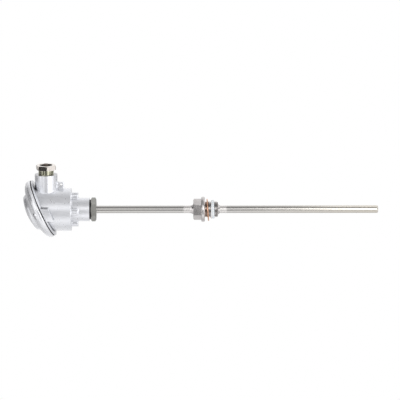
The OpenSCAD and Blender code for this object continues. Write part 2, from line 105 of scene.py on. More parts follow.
def close_up(piece):
    """Merges doubled corners and turns all faces outward."""
    only(piece)
    edit()
    bpy.ops.mesh.remove_doubles(threshold=0.002 * MM)
    bpy.ops.mesh.normals_make_consistent(inside=False)
    done()
    return piece


def modified(piece, kind, **settings):
    """Gives a piece a modifier with its settings, and applies it."""
    only(piece)
    modifier = piece.modifiers.new(kind.lower(), kind)
    for key, value in settings.items():
        setattr(modifier, key, value)
    bpy.ops.object.modifier_apply(modifier=modifier.name)


def soft_shade(piece, degrees):
    """Smooth shading, with the edges sharper than the angle kept crisp."""
    only(piece)
    bpy.ops.object.shade_smooth_by_angle(angle=math.radians(degrees))
    return piece


print("helpers ready")

# %% [markdown]
# ## Where things are
#
# The sealing face of the fitting is the frame's zero, and the stem runs along Z. These heights and
# places are the frame's own, so each new piece lands exactly on the solid that it stands for.

# %% Heights and places, in millimetres
# R is a radius, T a thickness, Z a height; AT is a distance from an axis
FLANGE_R, FLANGE_T = 16.5, 4.6
FITTING_TOP = 15.0
THREAD_R = 10.4775
HEX_R = 24 / math.sqrt(3)
FITTING_TURN, GLAND_TURN = 7, -19
SHOULDER, FLOOR_Z, NECK_FACE = 173.2, 177.2, 149.8
PLANE, SLANT = Vector((2.0, 0.0, 210.6)), math.radians(24.1)
GLAND_Z, GLAND_SEAT = 205.8, 46.8
COVER_SCREW_AT, INSERT_SCREW_AT = 33.4, 16.5
EYE_X, EYE_Z = 33.2, 186.45
PLATE_TOP, SPRING_TOP, PUSH = 181.7, 195.7, 8.0
for name in ("process_fitting", "head_cover"):
    lo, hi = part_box(name)
    print(name, "box in mm:", [round(v / MM, 1) for v in (*lo, *hi)])

# %% [markdown]
# ## The camera
#
# The probe was looked at level and square on, from far away, with a long lens, and lies on its
# side in the picture. The camera therefore stands four metres off, a little to one side, and is
# rolled so that the stem runs across.

# %% Camera
VIEW_TURN = math.radians(12.0)
FAR, ROLL, SENSOR = 4.0, 0.0012, 36.0
PER_DOT, DOTS = 1.30 * MM, 400
toward = Vector((math.sin(VIEW_TURN), -math.cos(VIEW_TURN), 0.0))
picture_up = Vector((math.cos(VIEW_TURN), math.sin(VIEW_TURN), 0.0))
picture_right = Vector((0.0, 0.0, -1.0))
picture_up, picture_right = picture_up + picture_right * ROLL, picture_right - picture_up * ROLL
middle = picture_up * (9.4 * PER_DOT) - picture_right * (4.8 * PER_DOT)

rest()
bpy.ops.object.camera_add(location=middle + toward * FAR)
camera = bpy.context.active_object
camera.name = "camera"
camera.data.sensor_width = SENSOR
camera.data.lens = SENSOR * FAR / (DOTS * PER_DOT)
camera.data.clip_start, camera.data.clip_end = 0.1, 50.0
camera.matrix_world = Matrix((
    (picture_right.x, picture_up.x, toward.x, camera.location.x),
    (picture_right.y, picture_up.y, toward.y, camera.location.y),
    (picture_right.z, picture_up.z, toward.z, camera.location.z),
    (0.0, 0.0, 0.0, 1.0),
))
bpy.context.scene.camera = camera
print("lens", round(camera.data.lens, 1), "mm, at", [round(v, 3) for v in camera.location])

# %% [markdown]
# ## Nodes that are needed again and again
#
# The surroundings and the finishes are both small networks of nodes. Three helpers serve both: one
# gives a socket its value, one reckons, and one carries a range of values over to another.

# %% Node helpers
def feed(tree, value, socket):
    """Sets a socket to a number, or links it to another node's output."""
    if isinstance(value, (int, float)):
        socket.default_value = value
    else:
        tree.links.new(value, socket)


def reckon(tree, operation, a, b=0.0, clamp=False):
    """One step of arithmetic."""
    node = tree.nodes.new("ShaderNodeMath")
    node.operation = operation
    node.use_clamp = clamp
    feed(tree, a, node.inputs[0])
    feed(tree, b, node.inputs[1])
    return node.outputs[0]


def map_range(tree, value, low, high, to_low, to_high, smooth=True):
    """Carries the values from low to high over to a new range, with eased ends if smooth."""
    node = tree.nodes.new("ShaderNodeMapRange")
    if smooth:
        node.interpolation_type = "SMOOTHSTEP"
    tree.links.new(value, node.inputs["Value"])
    bounds = (("From Min", low), ("From Max", high), ("To Min", to_low), ("To Max", to_high))
    for key, number in bounds:
        node.inputs[key].default_value = number
    return node.outputs[0]


print("node helpers ready")

# %% [markdown]
# ## Light
#
# Bright metal shows what stands round it, so its look is made by the light tent, not by lamps. The
# tent here is the world: its walls are soft panels and gaps side by side round the stem, which
# draw the long bright and dark lines on the tube. The camera itself sees plain white behind the
# probe.

# %% Light tent
world = bpy.data.worlds.new("light tent")
bpy.context.scene.world = world
world.use_nodes = True
tent = world.node_tree
tent.nodes.clear()

# each panel is an angle round the stem, in degrees from the viewer's side, and a brightness
PANELS = [
    (-180, 0.80), (-155, 0.98), (-130, 0.80), (-105, 0.62), (-80, 0.88), (-62, 1.14), (-48, 0.80),
    (-38, 0.36), (-28, 0.30), (-19, 0.28), (-11, 0.27), (-4, 0.62), (4, 1.15), (12, 1.18),
    (20, 0.82), (29, 0.42), (38, 0.28), (48, 0.27), (58, 0.27), (70, 0.26), (80, 0.42),
    (95, 0.66), (112, 0.96), (135, 1.08), (158, 1.08), (180, 0.80),
]
# nearer the tent's two ends the walls are brighter, and dim again behind the probe
ENDS = [
    (-180, 0.40), (-145, 0.60), (-110, 0.78), (-80, 0.85), (-50, 1.20), (-25, 1.50), (45, 1.50),
    (80, 1.20), (115, 1.05), (145, 0.80), (180, 0.40),
]
BRIGHTEST = 1.6
SLIT_AT = 46
# dim patches: angle, rise, inner and outer radius in degrees, and what is left of the light. The
# first is the gap that the cable gland's flat mirrors, the others dim the wall beyond the cover
PATCHES = (
    (-27, 37, 6, 12, 0.02), (92, 44, 20, 38, 0.40), (0, 90, 20, 42, 0.52), (130, 66, 14, 32, 0.14),
)


def tent_node(kind, **values):
    """A node in the world's tree, with inputs set by name."""
    node = tent.nodes.new(kind)
    for key, value in values.items():
        node.inputs[key].default_value = value
    return node


def tent_math(operation, a, b=0.0):
    """One step of arithmetic in the tent's tree."""
    return reckon(tent, operation, a, b)


coords = tent.nodes.new("ShaderNodeTexCoord")
axes = tent.nodes.new("ShaderNodeSeparateXYZ")
tent.links.new(coords.outputs["Generated"], axes.inputs[0])
turn = tent_math("ARCTAN2", axes.outputs["Y"], axes.outputs["X"])
# the panels' angles count from the viewer's side, and the ramp runs once round
turn = tent_math("ADD", turn, math.pi / 2 - VIEW_TURN + math.pi)
turn = tent_math("FRACT", tent_math("DIVIDE", turn, 2 * math.pi))


def tent_wall(panels):
    """The brightness of a wall that runs once round the stem."""
    ramp = tent.nodes.new("ShaderNodeValToRGB")
    ramp.color_ramp.interpolation = "EASE"
    tent.links.new(turn, ramp.inputs[0])
    stops = ramp.color_ramp.elements
    while len(stops) < len(panels):
        stops.new(0.5)
    for stop, (angle, level) in zip(stops, panels):
        stop.position = (angle + 180) / 360
        stop.color = (level / BRIGHTEST, level / BRIGHTEST, level / BRIGHTEST, 1.0)
    return tent_math("MULTIPLY", ramp.outputs["Color"], BRIGHTEST)


sideways = tent_math("ABSOLUTE", axes.outputs["Z"])
toward_ends = map_range(tent, sideways, 0.16, 0.42, 0.0, 1.0)
middle_wall, end_wall = tent_wall(PANELS), tent_wall(ENDS)
difference = tent_math("SUBTRACT", end_wall, middle_wall)
level = tent_math("ADD", middle_wall, tent_math("MULTIPLY", difference, toward_ends))
# a narrow dark slit at either end, which the flanks of the threads mirror
slit = map_range(tent, sideways, 0.48, 0.66, 0.0, 1.0)
off_slit = tent_math("ABSOLUTE", tent_math("SUBTRACT", turn, (SLIT_AT + 180) / 360))
in_slit = map_range(tent, off_slit, 15 / 360, 27 / 360, 0.96, 0.0)
shut = tent_math("MULTIPLY", slit, in_slit)
level = tent_math("MULTIPLY", level, tent_math("SUBTRACT", 1.0, shut))


def dim_patch(level, angle, rise, inner, outer, darkness):
    """Dims a round patch of the tent, given by its direction and its two radii in degrees."""
    side = math.radians(angle) - math.pi / 2 + VIEW_TURN
    lift = math.radians(rise)
    near = tent.nodes.new("ShaderNodeVectorMath")
    near.operation = "DOT_PRODUCT"
    tent.links.new(coords.outputs["Generated"], near.inputs[0])
    near.inputs[1].default_value = (
        math.cos(side) * math.cos(lift), math.sin(side) * math.cos(lift), math.sin(lift),
    )
    edge, core = math.cos(math.radians(outer)), math.cos(math.radians(inner))
    left = map_range(tent, near.outputs["Value"], edge, core, 1.0, darkness)
    return tent_math("MULTIPLY", level, left)


for patch in PATCHES:
    level = dim_patch(level, *patch)
walls = tent_node("ShaderNodeBackground", Strength=1.0)
tint = tent.nodes.new("ShaderNodeCombineColor")
for socket, share in zip(tint.inputs, (1.0, 0.995, 1.0)):
    tent.links.new(tent_math("MULTIPLY", level, share), socket)
tent.links.new(tint.outputs[0], walls.inputs["Color"])
plain = tent_node("ShaderNodeBackground", Color=(1.0, 1.0, 1.0, 1.0), Strength=1.0)
rays = tent.nodes.new("ShaderNodeLightPath")
choose = tent.nodes.new("ShaderNodeMixShader")
tent.links.new(rays.outputs["Is Camera Ray"], choose.inputs[0])
tent.links.new(walls.outputs[0], choose.inputs[1])
tent.links.new(plain.outputs[0], choose.inputs[2])
tent_out = tent.nodes.new("ShaderNodeOutputWorld")
tent.links.new(choose.outputs[0], tent_out.inputs["Surface"])
bpy.context.scene.view_settings.view_transform = "Standard"
print("tent panels:", len(PANELS), "and", len(ENDS))

# %% [markdown]
# ## Strip lights for the lower stem
#
# The lower half of the stem is brighter than the upper half, because long strips stand close to
# it, and two short ones by its tip. A strip that is parallel to a tube shows only over its own
# length, so the upper half stays as it was. A small white card close to the flange puts one bright
# patch on its rim.

# %% Strip lights
# name, angle round the stem, distance, width, length and height in metres, and power in watts
STRIPS = (
    ("upper strip", 25.0, 0.60, 0.13, 0.32, -0.25, 0.22),
    ("lower strip", -25.0, 0.60, 0.17, 0.32, -0.24, 0.100),
    ("tip strip", -4.0, 0.60, 0.40, 0.15, -0.250, 0.30),
    ("tip top strip", 88.0, 0.60, 0.36, 0.15, -0.245, 0.14),
    ("flange card", 15.0, 0.15, 0.090, 0.008, -0.004, 0.0062),
)
for name, angle, off, width, length, low, watts in STRIPS:
    heading = math.radians(angle) - math.pi / 2 + VIEW_TURN
    away = Vector((math.cos(heading), math.sin(heading), 0.0))
    rest()
    bpy.ops.object.light_add(type="AREA", location=away * off + Vector((0.0, 0.0, low)))
    strip = bpy.context.active_object
    strip.name = name
    strip.rotation_euler = (-away).to_track_quat("-Z", "Y").to_euler()
    strip.data.shape, strip.data.energy = "RECTANGLE", watts
    strip.data.size, strip.data.size_y = width, length
    strip.visible_camera = False
    print(name, "faces the stem from", round(angle), "degrees")

# %% [markdown]
# ## The floor
#
# The probe is made to be screwed into a wall or a pipe, so it stands free here, over a pale floor
# that fades out before its edge.

# %% Floor
FLOOR_R, FLOOR_LEVEL = 0.50, -0.35
rest()
bpy.ops.mesh.primitive_circle_add(
    vertices=96, radius=FLOOR_R, fill_type="NGON", location=(0, 0, FLOOR_LEVEL),
)
floor = settle(bpy.context.active_object)
floor.name = "floor"
pale = bpy.data.materials.new("pale floor")
pale.use_nodes = True
tree = pale.node_tree
place = tree.nodes.new("ShaderNodeTexCoord")
reach = tree.nodes.new("ShaderNodeVectorMath")
reach.operation = "LENGTH"
tree.links.new(place.outputs["Object"], reach.inputs[0])
fade = map_range(tree, reach.outputs["Value"], 0.02, 0.50, 0.8, 0.0)
board = tree.nodes["Principled BSDF"]
board.inputs["Base Color"].default_value = (0.93, 0.93, 0.93, 1.0)
board.inputs["Roughness"].default_value = 0.9
tree.links.new(fade, board.inputs["Alpha"])
floor.data.materials.append(pale)
print("floor at", round(FLOOR_LEVEL / MM), "mm")

# %% [markdown]
# ## How a finish is made
#
# A finish is a small network of nodes. Object coordinates are in metres and stay fixed to the
# piece, so a grain that is stretched along Z runs along the stem for good. Each finish mixes two
# close tones through a slow noise, lets the roughness wander through another, and raises the
# surface by hundredths of a millimetre, or less, through a bump.

# %% Finish helpers
finishes = {}


class Finish:
    """A material being made: short names for the nodes that every finish here needs."""

    def __init__(self, name, metal, specular=0.5):
        self.material = bpy.data.materials.new(name)
        self.material.use_nodes = True
        self.tree = self.material.node_tree
        self.skin = self.tree.nodes["Principled BSDF"]
        self.skin.inputs["Metallic"].default_value = metal
        self.skin.inputs["Specular IOR Level"].default_value = specular
        self.place = self.tree.nodes.new("ShaderNodeTexCoord").outputs["Object"]
        finishes[name] = self.material

    def link(self, a, b):
        self.tree.links.new(a, b)

    def stretched(self, scale):
        """The piece's coordinates, squeezed or stretched along each axis."""
        node = self.tree.nodes.new("ShaderNodeMapping")
        node.inputs["Scale"].default_value = scale
        self.link(self.place, node.inputs["Vector"])
        return node.outputs[0]

    def noise(self, scale, detail=3.0, rough=0.5, where=None):
        node = self.tree.nodes.new("ShaderNodeTexNoise")
        node.inputs["Scale"].default_value = scale
        node.inputs["Detail"].default_value = detail
        node.inputs["Roughness"].default_value = rough
        self.link(where or self.place, node.inputs["Vector"])
        return node.outputs["Fac"]

    def spread(self, value, low, high, to_low, to_high, smooth=False):
        return map_range(self.tree, value, low, high, to_low, to_high, smooth)

    def math(self, operation, a, b=0.0, clamp=False):
        return reckon(self.tree, operation, a, b, clamp)

    def between(self, value, rise, fall, smooth=False):
        """One inside a range and nothing outside it; rise and fall are its two edges."""
        return self.math(
            "MULTIPLY",
            self.spread(value, *rise, 0.0, 1.0, smooth),
            self.spread(value, *fall, 1.0, 0.0, smooth),
        )

    def axes(self):
        """The piece's own X, Y and Z, in metres."""
        node = self.tree.nodes.new("ShaderNodeSeparateXYZ")
        self.link(self.place, node.inputs[0])
        return tuple(node.outputs)

    def distance(self, a, b):
        """How far a point lies from an axis, from its two offsets across it."""
        squares = [self.math("POWER", offset, 2.0) for offset in (a, b)]
        return self.math("SQRT", self.math("ADD", *squares))

    def blend(self, amount, a, b):
        """Mixes two colours."""
        node = self.tree.nodes.new("ShaderNodeMix")
        node.data_type = "RGBA"
        node.blend_type = "MIX"
        self.link(amount, node.inputs["Factor"])
        for value, socket in ((a, node.inputs[6]), (b, node.inputs[7])):
            if isinstance(value, tuple):
                socket.default_value = (*value, 1.0)
            else:
                self.link(value, socket)
        return node.outputs[2]

    def colour(self, value):
        self.link(value, self.skin.inputs["Base Color"])

    def rough(self, value):
        self.link(value, self.skin.inputs["Roughness"])

    def bump(self, height, depth_mm, strength=1.0):
        """Raises the surface; a second call adds to the first."""
        node = self.tree.nodes.new("ShaderNodeBump")
        node.inputs["Strength"].default_value = strength
        node.inputs["Distance"].default_value = depth_mm * MM
        self.link(height, node.inputs["Height"])
        old = self.skin.inputs["Normal"]
        if old.is_linked:
            self.link(old.links[0].from_socket, node.inputs["Normal"])
        self.link(node.outputs[0], old)


def dress(material, *nodes):
    """Gives a material to nodes of the frame."""
    for name in nodes:
        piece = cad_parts[name]
        for holder in piece.material_slots:
            holder.material = material
        if not piece.material_slots:
            piece.data.materials.append(material)


print("finish helpers ready")

# %% [markdown]
# ## Drawn stainless tube
#
# The tube is drawn through a die, which leaves fine lines along it, and brushed bright where it
# was cleaned after welding to the fitting. A noise squeezed across the tube and stretched along it
# gives the lines. Two soft bands, placed by height, make the cleaned zones, a little lighter and
# duller, and the steel grows straw-warm to the tip.

# %% Tube finish
tube_steel = Finish("drawn stainless tube", metal=1.0)
lines = tube_steel.noise(1.0, 4.0, 0.6, tube_steel.stretched((2600, 2600, 22)))
wide_lines = tube_steel.noise(1.0, 2.0, 0.5, tube_steel.stretched((700, 700, 9)))
clouds = tube_steel.noise(28.0, 3.0)
height = tube_steel.axes()[2]
upper_band = tube_steel.between(height, (0.0150, 0.0155), (0.0265, 0.0285), smooth=True)
lower_band = tube_steel.between(height, (-0.0295, -0.0275), (-0.0180, -0.0175), smooth=True)
cleaned = tube_steel.math("ADD", upper_band, lower_band, clamp=True)
warmth = tube_steel.spread(height, -0.225, -0.03, 1.0, 0.0)
steel_tone = tube_steel.blend(warmth, (0.665, 0.655, 0.64), (0.70, 0.66, 0.585))
steel_tone = tube_steel.blend(
    tube_steel.spread(clouds, 0.3, 0.7, 0.0, 0.35), steel_tone, (0.62, 0.60, 0.555),
)
steel_tone = tube_steel.blend(
    tube_steel.math("MULTIPLY", cleaned, 0.85), steel_tone, (0.83, 0.81, 0.79),
)
tube_steel.colour(steel_tone)
polish = tube_steel.spread(lines, 0.3, 0.7, 0.16, 0.27)
polish = tube_steel.math("ADD", polish, tube_steel.math("MULTIPLY", cleaned, 0.14))
tube_steel.rough(polish)
tube_steel.bump(lines, 0.006, 0.6)
tube_steel.bump(wide_lines, 0.012, 0.4)
dress(tube_steel.material, "protection_tube")
print("tube finish:", len(tube_steel.tree.nodes), "nodes")

# %% [markdown]
# ## Turned stainless fitting
#
# The fitting is turned from hexagon bar, so its faces carry fine rings round the stem. The rings
# come from a noise that is read only by height and by distance from the axis. A low cloud of tone
# keeps the flats from looking printed.

# %% Fitting finish
fitting_steel = Finish("turned stainless steel", metal=1.0)
x, y, z = fitting_steel.axes()
from_axis = fitting_steel.distance(x, y)
ring_place = fitting_steel.tree.nodes.new("ShaderNodeCombineXYZ")
fitting_steel.link(from_axis, ring_place.inputs[0])
fitting_steel.link(z, ring_place.inputs[1])
rings = fitting_steel.noise(3600.0, 3.0, 0.6, ring_place.outputs[0])
blotch = fitting_steel.noise(160.0, 3.0)
fitting_tone = fitting_steel.blend(
    fitting_steel.spread(blotch, 0.3, 0.7, 0.0, 1.0), (0.68, 0.655, 0.65), (0.58, 0.555, 0.545)
)
# painted shade: dark in the bottoms of the thread; a painted shadow, browned by the copper's
# painted reflection, in the groove between collar and washer
groove = fitting_steel.math(
    "MULTIPLY",
    fitting_steel.spread(from_axis, 0.0094, 0.0101, 1.0, 0.0, True),
    fitting_steel.between(z, (-0.0172, -0.0168), (-0.0006, -0.0002)),
)
thread_shade = fitting_steel.math("MULTIPLY", groove, 0.8)
fitting_tone = fitting_steel.blend(thread_shade, fitting_tone, (0.17, 0.15, 0.13))
# painted shadow and painted copper reflection beside the washer
copper_reflection_shade = fitting_steel.math(
    "MULTIPLY",
    fitting_steel.spread(z, -0.0052, -0.0044, 0.0, 1.0, True),
    fitting_steel.spread(z, -0.0003, -0.0001, 1.0, 0.0),
)
copper_reflection_shade = fitting_steel.math(
    "MULTIPLY", copper_reflection_shade, fitting_steel.spread(from_axis, 0.0106, 0.0112, 1.0, 0.0),
)
copper_tinted_shade = fitting_steel.math("MULTIPLY", copper_reflection_shade, 0.75)
fitting_tone = fitting_steel.blend(copper_tinted_shade, fitting_tone, (0.20, 0.10, 0.055))
fitting_steel.colour(fitting_tone)
fitting_steel.rough(fitting_steel.spread(rings, 0.3, 0.7, 0.15, 0.25))
fitting_steel.bump(rings, 0.008, 0.6)
dress(fitting_steel.material, "process_fitting")
print("fitting finish:", len(fitting_steel.tree.nodes), "nodes")

# %% [markdown]
# ## Silver painted die casting
#
# The head is cast, shot blasted and painted silver. Up close it has the fine pebble of blasted
# metal under paint and slow ripples from the mould, and the paint is thinner and brighter in
# places. Three noises of very different size do both, and a fourth lets the roughness wander.


# %% Casting finish
def casting(name, tone, second, smooth):
    """Silver paint over blasted metal, with painted shade in the inner corners."""
    paint = Finish(name, metal=0.60, specular=0.55)
    paint.skin.inputs["Coat Weight"].default_value = 0.35
    paint.skin.inputs["Coat Roughness"].default_value = 0.12
    slow = paint.noise(55.0, 3.0)
    pebble = paint.noise(1900.0, 2.0, 0.6)
    grain = paint.noise(620.0, 3.0, 0.55)
    shade = paint.blend(paint.spread(slow, 0.32, 0.68, 0.0, 1.0), tone, second)
    shade = paint.blend(paint.spread(grain, 0.45, 0.75, 0.0, 0.25), shade, (0.74, 0.75, 0.775))
    # painted shade: the inner corners of the casting are darkened, where shade falls
    corners = paint.tree.nodes.new("ShaderNodeAmbientOcclusion")
    corners.samples = 16
    corners.inputs["Distance"].default_value = 5 * MM
    corner_shade = paint.spread(corners.outputs["AO"], 0.28, 0.74, 0.95, 0.0, True)
    shade = paint.blend(corner_shade, shade, (0.16, 0.165, 0.18))
    paint.colour(shade)
    paint.rough(paint.spread(paint.noise(240.0, 2.0), 0.3, 0.7, smooth, smooth + 0.08))
    paint.bump(slow, 0.15, 0.15)
    paint.bump(grain, 0.006, 0.25)
    paint.bump(pebble, 0.003, 0.25)
    paint.shade = shade
    return paint


head_paint = casting("silver painted casting", (0.855, 0.865, 0.895), (0.81, 0.825, 0.86), 0.27)
cover_paint = casting("silver painted cover", (0.855, 0.865, 0.89), (0.82, 0.83, 0.86), 0.22)
# painted shade on the seat under the cable gland, which the gland's hexagon shades
x, y, _ = head_paint.axes()
seat_shade = head_paint.spread(x, 0.04670, 0.04676, 0.0, 0.9, True)
seat_shade = head_paint.blend(seat_shade, head_paint.shade, (0.34, 0.34, 0.345))
# a painted shadow lies along the upper step of either side boss
step_shadow = head_paint.between(x, (0.00820, 0.00835), (0.00865, 0.00880))
proud = head_paint.spread(head_paint.math("ABSOLUTE", y), 0.0268, 0.0272, 0.0, 0.75)
step_shadow = head_paint.math("MULTIPLY", step_shadow, proud)
head_paint.colour(head_paint.blend(step_shadow, seat_shade, (0.10, 0.10, 0.11)))
dress(head_paint.material, "head_body")
dress(cover_paint.material, "head_cover")
print("casting finishes:", head_paint.material.name, "and", cover_paint.material.name)

# %% [markdown]
# ## Smaller metals
#
# The collar is dull plated steel, the gland's pressure screw is nickel plated brass, the washer is
# soft copper that has begun to brown. They differ in tone, in polish and in the size of their
# marks, so one helper makes them all.


# %% Plated, soft and plain metals
def metal(name, tone, second, low, high, mark=500.0, depth=0.008, cloud=120.0, stretch=(1, 1, 1)):
    """A bare metal: two tones, the range of its roughness, and the size and depth of its marks."""
    made = Finish(name, metal=1.0)
    slow = made.noise(cloud, 3.0)
    marks = made.noise(mark, 4.0, 0.6, made.stretched(stretch))
    made.colour(made.blend(made.spread(slow, 0.35, 0.65, 0.0, 1.0), tone, second))
    made.rough(made.spread(marks, 0.3, 0.7, low, high))
    made.bump(marks, depth, 0.6)
    return made


collar_steel = metal(
    "dull plated steel", (0.40, 0.40, 0.375), (0.33, 0.33, 0.31), 0.26, 0.38, mark=900.0,
    depth=0.012,
)
nickel = metal(
    "nickel plated brass", (0.80, 0.75, 0.71), (0.72, 0.68, 0.62), 0.07, 0.15, mark=700.0,
    depth=0.003,
)
copper = metal(
    "browned copper", (0.84, 0.49, 0.33), (0.62, 0.35, 0.22), 0.22, 0.34, mark=650.0, depth=0.012,
    cloud=260.0,
)
screw_steel = metal(
    "zinc plated screw steel", (0.52, 0.52, 0.53), (0.40, 0.40, 0.42), 0.24, 0.38, mark=900.0,
    depth=0.006,
)
insert_steel = metal(
    "bright sheet steel", (0.64, 0.62, 0.59), (0.55, 0.53, 0.505), 0.18, 0.30, mark=1400.0,
    depth=0.005, cloud=90.0, stretch=(1, 1, 0.1),
)
brass = metal(
    "turned brass", (0.83, 0.66, 0.33), (0.70, 0.53, 0.24), 0.18, 0.32, mark=900.0, depth=0.006,
)
wire_copper = metal(
    "silvered copper wire", (0.78, 0.66, 0.55), (0.70, 0.54, 0.42), 0.24, 0.36, mark=1200.0,
    depth=0.004,
)
spring_steel = metal(
    "spring wire", (0.46, 0.46, 0.47), (0.36, 0.36, 0.37), 0.20, 0.34, mark=1500.0, depth=0.004,
)
# painted shade makes the inside of the gland's bore nearly black, and its thread has an olive cast
x, y, z = nickel.axes()
from_gland = nickel.distance(nickel.math("SUBTRACT", z, GLAND_Z * MM), y)
plated = nickel.skin.inputs["Base Color"].links[0].from_socket
on_thread = nickel.spread(x, 0.0524, 0.0530, 0.75, 0.0, True)
plated = nickel.blend(on_thread, plated, (0.42, 0.43, 0.31))
bore_shade = nickel.spread(from_gland, 0.0081, 0.0086, 0.92, 0.0, True)
nickel.colour(nickel.blend(bore_shade, plated, (0.045, 0.035, 0.030)))
dress(collar_steel.material, "neck_adapter")
dress(nickel.material, "gland_screw")
dress(copper.material, "copper_washer")
dress(screw_steel.material, "cover_screw_front", "cover_screw_back", "gland_washer")
dress(
    insert_steel.material, "insert_plate", "insert_collar", "insert_sheath", "block_screws",
    "insert_screws",
)
dress(brass.material, "terminals")
dress(screw_steel.material, "terminal_screws")
dress(wire_copper.material, "lead_wires")
dress(spring_steel.material, "insert_springs")
print("finishes so far:", len(finishes))

# %% [markdown]
# ## Rubber, plastic, ceramic, resin
#
# None of these is metal. The gaskets are dusty black rubber, the thread's ring is milky plastic
# that lets some light in under its skin, the terminal block is glazed ceramic, and the insert's
# fillings are matt powder and resin.


# %% Non-metals
def plain_stuff(name, tone, second, low, high, grain=900.0, depth=0.02, cloud=90.0, specular=0.45):
    """A stuff that is no metal: two tones, the range of its roughness, and its grain."""
    made = Finish(name, metal=0.0, specular=specular)
    slow = made.noise(cloud, 3.0)
    fine = made.noise(grain, 4.0, 0.6)
    made.colour(made.blend(made.spread(slow, 0.35, 0.65, 0.0, 1.0), tone, second))
    made.rough(made.spread(fine, 0.3, 0.7, low, high))
    made.bump(fine, depth, 0.6)
    return made


black_rubber = plain_stuff(
    "black gasket rubber", (0.022, 0.023, 0.025), (0.040, 0.040, 0.042), 0.55, 0.75, grain=1200.0,
    depth=0.02,
)
milky = plain_stuff(
    "milky plastic", (0.76, 0.785, 0.805), (0.71, 0.74, 0.765), 0.24, 0.34, grain=600.0,
    depth=0.006, cloud=140.0,
)
milky.skin.inputs["Subsurface Weight"].default_value = 0.35
milky.skin.inputs["Subsurface Radius"].default_value = (0.0015, 0.0017, 0.0019)
milky.skin.inputs["Subsurface Scale"].default_value = 1.0
plug_plastic = plain_stuff(
    "brown grey plastic", (0.16, 0.125, 0.10), (0.12, 0.095, 0.08), 0.40, 0.58, grain=800.0,
    depth=0.02,
)
ceramic = plain_stuff(
    "glazed ceramic", (0.84, 0.82, 0.77), (0.78, 0.76, 0.71), 0.12, 0.22, grain=500.0, depth=0.008,
    cloud=60.0, specular=0.55,
)
ceramic.skin.inputs["Coat Weight"].default_value = 0.4
ceramic.skin.inputs["Coat Roughness"].default_value = 0.08
oxide = plain_stuff(
    "packed oxide", (0.80, 0.78, 0.72), (0.72, 0.70, 0.64), 0.80, 0.95, grain=1500.0, depth=0.05,
)
resin = plain_stuff(
    "brown sealing resin", (0.22, 0.085, 0.045), (0.16, 0.06, 0.03), 0.16, 0.30, grain=400.0,
    depth=0.02,
)
dress(black_rubber.material, "neck_gasket", "cover_gasket", "screw_retainers", "gland_seal")
dress(milky.material, "retaining_ring")
dress(plug_plastic.material, "gland_plug")
dress(ceramic.material, "terminal_block", "sensing_element")
dress(oxide.material, "insert_filling")
dress(resin.material, "insert_seal")
print("finishes in all:", len(finishes))

# %% [markdown]
# ## A lathe, and other machines
#
# Most of this probe is turned, so one helper works like a lathe. It draws half of the outline by
# pulling a single corner along, and then spins it round the stem. Others make a plain bar, which
# is also the drill, or a block, and one cuts a piece with another or welds the two into one skin.
# Boolean cuts keep machined edges as crisp as a tool leaves them.

# %% Lathe
def drawn(name, outline, foot=0.0):
    """A line through points given as radius and height above the foot, in millimetres."""
    rest()
    bpy.ops.mesh.primitive_plane_add(size=MM, location=(0, 0, 0))
    piece = bpy.context.active_object
    piece.name = name
    edit()
    bpy.ops.mesh.merge(type="CENTER")
    bpy.ops.transform.translate(value=(outline[0][0] * MM, 0.0, (foot + outline[0][1]) * MM))
    for (r0, z0), (r1, z1) in zip(outline, outline[1:]):
        step = {"value": ((r1 - r0) * MM, 0.0, (z1 - z0) * MM)}
        bpy.ops.mesh.extrude_vertices_move(TRANSFORM_OT_translate=step)
    bpy.ops.mesh.select_all(action="SELECT")
    return piece


def turned(name, outline, steps=144):
    """Spins an outline round Z. An outline that doesn't run from axis to axis closes itself."""
    loop = list(outline)
    if outline[0][0] > 0 or outline[-1][0] > 0:
        loop.append(outline[0])
    piece = drawn(name, loop)
    bpy.ops.mesh.spin(steps=steps, angle=2 * math.pi, center=(0, 0, 0), axis=(0, 0, 1))
    done()
    return close_up(piece)


def bend(centre, radius, first, last, steps=6):
    """Points of a rounding in an outline, from one angle in degrees to another."""
    points = []
    for k in range(steps + 1):
        angle = math.radians(first + (last - first) * k / steps)
        points.append((centre[0] + radius * math.cos(angle), centre[1] + radius * math.sin(angle)))
    return points


# %% Bars, cuts and welds
def bar(name, radius, low, high, sides=128, turn=0.0, at=(0.0, 0.0)):
    """A straight bar along Z, in millimetres: round, or a hexagon with six sides."""
    rest()
    bpy.ops.mesh.primitive_cylinder_add(
        vertices=sides, radius=radius * MM, depth=(high - low) * MM,
        location=(at[0] * MM, at[1] * MM, (low + high) / 2 * MM),
        rotation=(0, 0, math.radians(turn)),
    )
    piece = bpy.context.active_object
    piece.name = name
    return settle(piece)


def block(name, low, high):
    """A square block between two corners, in millimetres."""
    rest()
    bpy.ops.mesh.primitive_cube_add(
        size=1.0, location=[(a + b) / 2 * MM for a, b in zip(low, high)]
    )
    piece = bpy.context.active_object
    piece.scale = [(b - a) * MM for a, b in zip(low, high)]
    piece.name = name
    return settle(piece)


def work(piece, tool, how="DIFFERENCE"):
    """Cuts the tool out, joins it on, or keeps what both hold, and puts the tool away."""
    modified(piece, "BOOLEAN", operation=how, solver="EXACT", object=tool)
    only(tool)
    bpy.ops.object.delete()
    return only(piece)


def joined(parts, name):
    """Puts several pieces into one object, without welding them."""
    rest()
    for part in parts:
        part.select_set(True)
    bpy.context.view_layer.objects.active = parts[0]
    bpy.ops.object.join()
    parts[0].name = name
    return parts[0]


def onto_cover_plane(piece):
    """Takes a piece made upright at the origin to the slanted joint of the head."""
    piece.location = PLANE * MM
    piece.rotation_euler = (0.0, -SLANT, 0.0)
    return settle(piece)


def onto_gland(piece):
    """Lays a piece made upright onto the gland's axis, which runs along X."""
    piece.location = (0.0, 0.0, GLAND_Z * MM)
    piece.rotation_euler = (0.0, math.pi / 2, 0.0)
    return settle(piece)


def stands_for(piece, material, body, slot, *nodes):
    """Dresses a new piece and tells the frame what it moves with and which nodes it stands for."""
    piece.data.materials.clear()
    piece.data.materials.append(material)
    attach(piece, body)
    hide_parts(*nodes)
    print(piece.name, "has", len(piece.data.polygons), "faces")
    return piece


